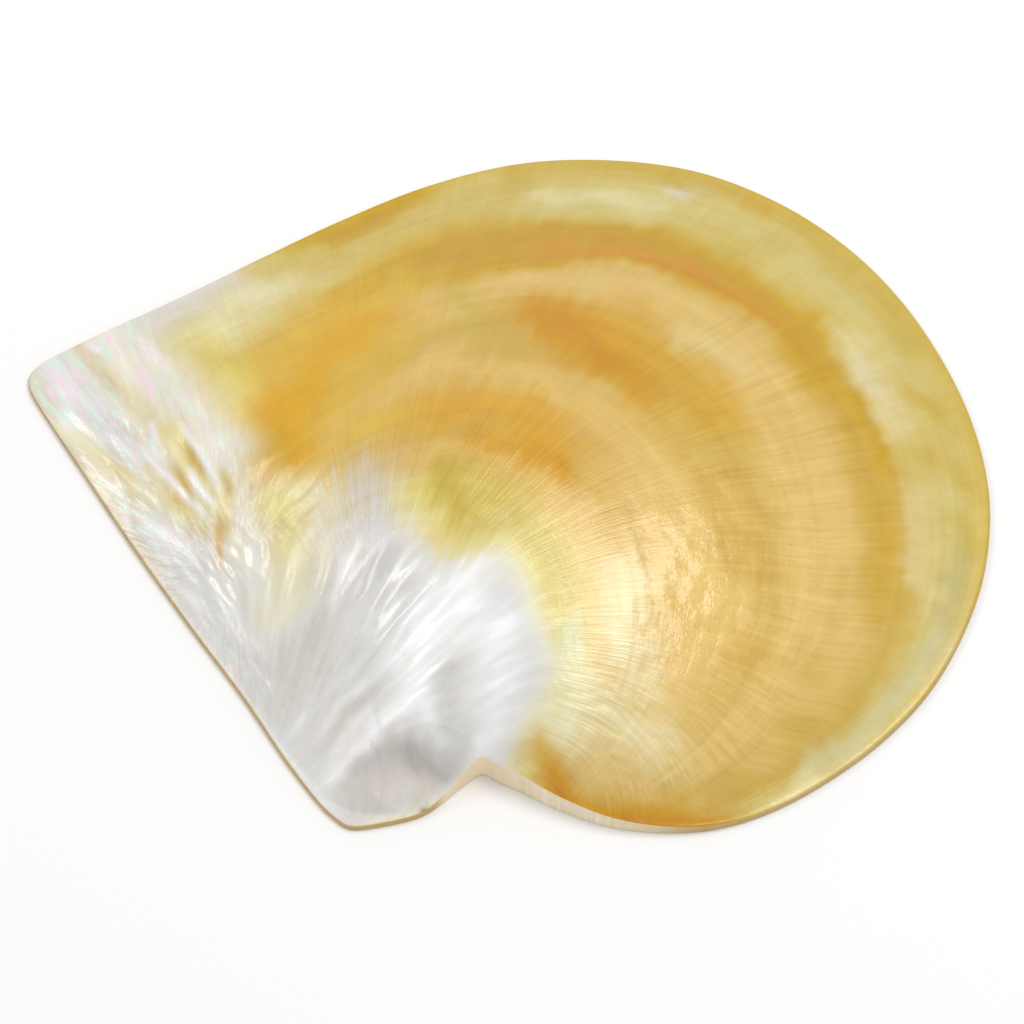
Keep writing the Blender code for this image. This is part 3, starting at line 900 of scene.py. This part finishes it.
class Nodes:
    """Small helper that adds nodes and joins them."""

    def __init__(self, material):
        self.tree = material.node_tree

    def feed(self, socket, value):
        """Join an input to another node's output, or give it a fixed value."""
        if isinstance(value, bpy.types.NodeSocket):
            self.tree.links.new(value, socket)
        else:
            socket.default_value = value

    def add(self, kind, inputs=None, **settings):
        """A new node with its settings and inputs."""
        node = self.tree.nodes.new(kind)
        for name, value in settings.items():
            setattr(node, name, value)
        for name, value in (inputs or {}).items():
            self.feed(node.inputs[name], value)
        return node

    def attribute(self, name, output="Vector"):
        """A vertex attribute of the mesh."""
        return self.add("ShaderNodeAttribute", attribute_name=name).outputs[output]

    def parts(self, vector):
        """The three numbers of a vector."""
        return self.add("ShaderNodeSeparateXYZ", {0: vector}).outputs

    def noise(self, vector, stretch, detail, roughness):
        """Noise of a vector stretched by three factors, from 0 to 1."""
        placed = self.add("ShaderNodeMapping", {"Vector": vector, "Scale": stretch}).outputs[0]
        settings = {"Vector": placed, "Scale": 1.0, "Detail": detail, "Roughness": roughness}
        return self.add("ShaderNodeTexNoise", settings).outputs[0]

    def remap(self, value, low, high, to_low, to_high):
        """A value moved from one range to another, held at both ends."""
        settings = {"Value": value, "From Min": low, "From Max": high, "To Min": to_low, "To Max": to_high}
        return self.add("ShaderNodeMapRange", settings).outputs[0]

    def math(self, operation, first, second):
        """Two values joined by arithmetic."""
        return self.add("ShaderNodeMath", {0: first, 1: second}, operation=operation).outputs[0]

    def blend(self, factor, first, second):
        """Two colours mixed by a factor."""
        return self.add("ShaderNodeMix", {0: factor, 6: first, 7: second}, data_type="RGBA").outputs[2]

    def shade(self, colour, depth, amount):
        """A colour made lighter or darker by an amount, with its own depth in red, green and blue."""
        change = self.add("ShaderNodeVectorMath", {0: depth, 3: amount}, operation="SCALE").outputs[0]
        return self.add("ShaderNodeVectorMath", {0: colour, 1: change, 2: colour},
                        operation="MULTIPLY_ADD").outputs[0]


def line_noises(nodes):
    """The fine lines along their flows, and the mottle, each from 0 to 1."""
    flows = {name: nodes.attribute(name) for name in ("rays", "silver_lines", "ear_lines")}
    noises = {name: nodes.noise(flows[along], *shape) for name, (along, *shape) in LINES.items()}
    place = nodes.add("ShaderNodeTexCoord").outputs["Object"]
    noises["mottle"] = nodes.noise(place, *MOTTLE)
    return noises


def zone_masks(nodes):
    """How much each place belongs to each zone, from 0 to 1."""
    names = ("silver", "posterior", "pearly", "golden rays", "hammered", "golden")
    parts = [*nodes.parts(nodes.attribute("zones")), *nodes.parts(nodes.attribute("textures"))]
    return dict(zip(names, parts))


def shade_lines(nodes, colour, depth, lines, noises, masks):
    """A colour with the light and dark of fine lines in it."""
    total = 0.0
    for name, zone, strength in lines:
        light = nodes.remap(noises[name], DARK_LINE, LIGHT_LINE, -strength, strength)
        total = nodes.math("ADD", nodes.math("MULTIPLY", light, masks[zone]), total)
    return nodes.shade(colour, depth, total)


def add_glints(nodes, colour, fleck, masks):
    """Pink and mint glints of thin nacre, strongest on the posterior ear."""
    on_ear = nodes.math("MULTIPLY", masks["posterior"], 1 - GLINTS_OFF_THE_EAR)
    glinting = nodes.math("MULTIPLY", masks["pearly"], nodes.math("ADD", GLINTS_OFF_THE_EAR, on_ear))
    for name, start, full, strength in GLINTS:
        share = nodes.math("MULTIPLY", nodes.remap(fleck, start, full, 0.0, strength), glinting)
        colour = nodes.blend(share, colour, (*linear(NACRE[name]), 1.0))
    return colour


def line_relief(nodes, noises, masks):
    """Bumped normals of the fine lines and the mottle."""
    height = nodes.math("MULTIPLY", noises["mottle"], MOTTLE_BUMP)
    for name, zone, strength in BUMP_LINES:
        part = nodes.math("MULTIPLY", nodes.math("MULTIPLY", noises[name], masks[zone]), strength)
        height = nodes.math("ADD", height, part)
    settings = {"Strength": 1.0, "Distance": BUMP_DISTANCE, "Height": height}
    return nodes.add("ShaderNodeBump", settings).outputs[0]


def nacre_material():
    """Polished nacre: painted colour with fine rays and growth bands, pearly glints and a glossy coat."""
    material = bpy.data.materials.new("nacre")
    material.use_nodes = True
    nodes = Nodes(material)
    noises = line_noises(nodes)
    masks = zone_masks(nodes)
    on_edge = nodes.attribute("on_edge", "Fac")
    colour = nodes.attribute("pigment_and_painted_light")
    colour = shade_lines(nodes, colour, GOLD_DEPTH, GOLD_SHADES, noises, masks)
    colour = shade_lines(nodes, colour, SILVER_DEPTH, SILVER_SHADES, noises, masks)
    colour = add_glints(nodes, colour, noises["ear fleck"], masks)
    normal = line_relief(nodes, noises, masks)
    off_edge = nodes.remap(on_edge, 0.0, 1.0, 1.0, 0.0)
    coat = nodes.math("MULTIPLY", off_edge, nodes.remap(masks["golden"], 0.0, 1.0, 1.0, GOLDEN_COAT))
    shader = material.node_tree.nodes["Principled BSDF"]
    finish = {
        "Base Color": colour,
        "Normal": normal,
        "Coat Normal": normal,
        "Roughness": nodes.remap(on_edge, 0.0, 1.0, NACRE_ROUGHNESS, EDGE_ROUGHNESS),
        "Coat Weight": coat,
        "Metallic": NACRE_METALLIC,
        "Specular IOR Level": NACRE_SPECULAR,
        "Coat Roughness": COAT_ROUGHNESS,
        "Coat IOR": COAT_IOR,
    }
    for name, value in finish.items():
        nodes.feed(shader.inputs[name], value)
    return material


def place_camera():
    """Camera at the photo's bearing and elevation, looking at the valve."""
    back = Vector((math.sin(CAMERA_BEARING) * math.cos(CAMERA_ELEVATION),
                   -math.cos(CAMERA_BEARING) * math.cos(CAMERA_ELEVATION),
                   math.sin(CAMERA_ELEVATION)))
    data = bpy.data.cameras.new("camera")
    data.lens = LENS
    data.sensor_width = SENSOR
    data.clip_end = 10.0
    camera = bpy.data.objects.new("camera", data)
    camera.location = (Vector(CAMERA_TARGET) + CAMERA_DISTANCE * back) * MM
    camera.rotation_euler = back.to_track_quat("Z", "Y").to_euler()
    bpy.context.scene.collection.objects.link(camera)
    bpy.context.scene.camera = camera


def from_camera(right, away, up):
    """A place told as right of the camera's line of sight, away from it and up, in metres."""
    side = Vector((math.cos(CAMERA_BEARING), math.sin(CAMERA_BEARING), 0.0))
    ahead = Vector((-math.sin(CAMERA_BEARING), math.cos(CAMERA_BEARING), 0.0))
    return right * side + away * ahead + up * Vector((0.0, 0.0, 1.0))


def area_light(name, place, width, depth, power):
    """A soft white light that faces the valve with its width level, as seen from the camera."""
    data = bpy.data.lights.new(name, "AREA")
    data.shape = "RECTANGLE"
    data.size = width
    data.size_y = depth
    data.energy = power
    light = bpy.data.objects.new(name, data)
    light.location = from_camera(*place)
    back = light.location.normalized()
    side = from_camera(1.0, 0.0, 0.0)
    side = (side - side.dot(back) * back).normalized()
    light.rotation_euler = Matrix((side, back.cross(side), back)).transposed().to_euler()
    bpy.context.scene.collection.objects.link(light)


def make_floor():
    """A plain white floor, far larger than the view."""
    half = FLOOR_HALF
    corners = [(-half, -half, 0), (half, -half, 0), (half, half, 0), (-half, half, 0)]
    mesh = bpy.data.meshes.new("floor")
    mesh.from_pydata(corners, [], [(0, 1, 2, 3)])
    material = bpy.data.materials.new("floor")
    material.use_nodes = True
    shader = material.node_tree.nodes["Principled BSDF"]
    shader.inputs["Base Color"].default_value = (FLOOR_GREY, FLOOR_GREY, FLOOR_GREY, 1.0)
    shader.inputs["Roughness"].default_value = FLOOR_ROUGHNESS
    mesh.materials.append(material)
    floor = bpy.data.objects.new("floor", mesh)
    bpy.context.scene.collection.objects.link(floor)


def make_world():
    """Even white surroundings."""
    world = bpy.data.worlds.new("surroundings")
    world.use_nodes = True
    background = world.node_tree.nodes["Background"]
    background.inputs["Color"].default_value = (1.0, 1.0, 1.0, 1.0)
    background.inputs["Strength"].default_value = SURROUNDINGS
    bpy.context.scene.world = world


def main():
    """Dress the valve and light it."""
    place_camera()
    shell = make_shell()
    shell.data.materials.append(nacre_material())
    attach(shell, "root")
    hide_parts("shell")
    make_floor()
    make_world()
    area_light("key", *KEY_LIGHT)
    area_light("left", *LEFT_LIGHT)
    bpy.context.scene.view_settings.view_transform = "Standard"


main()
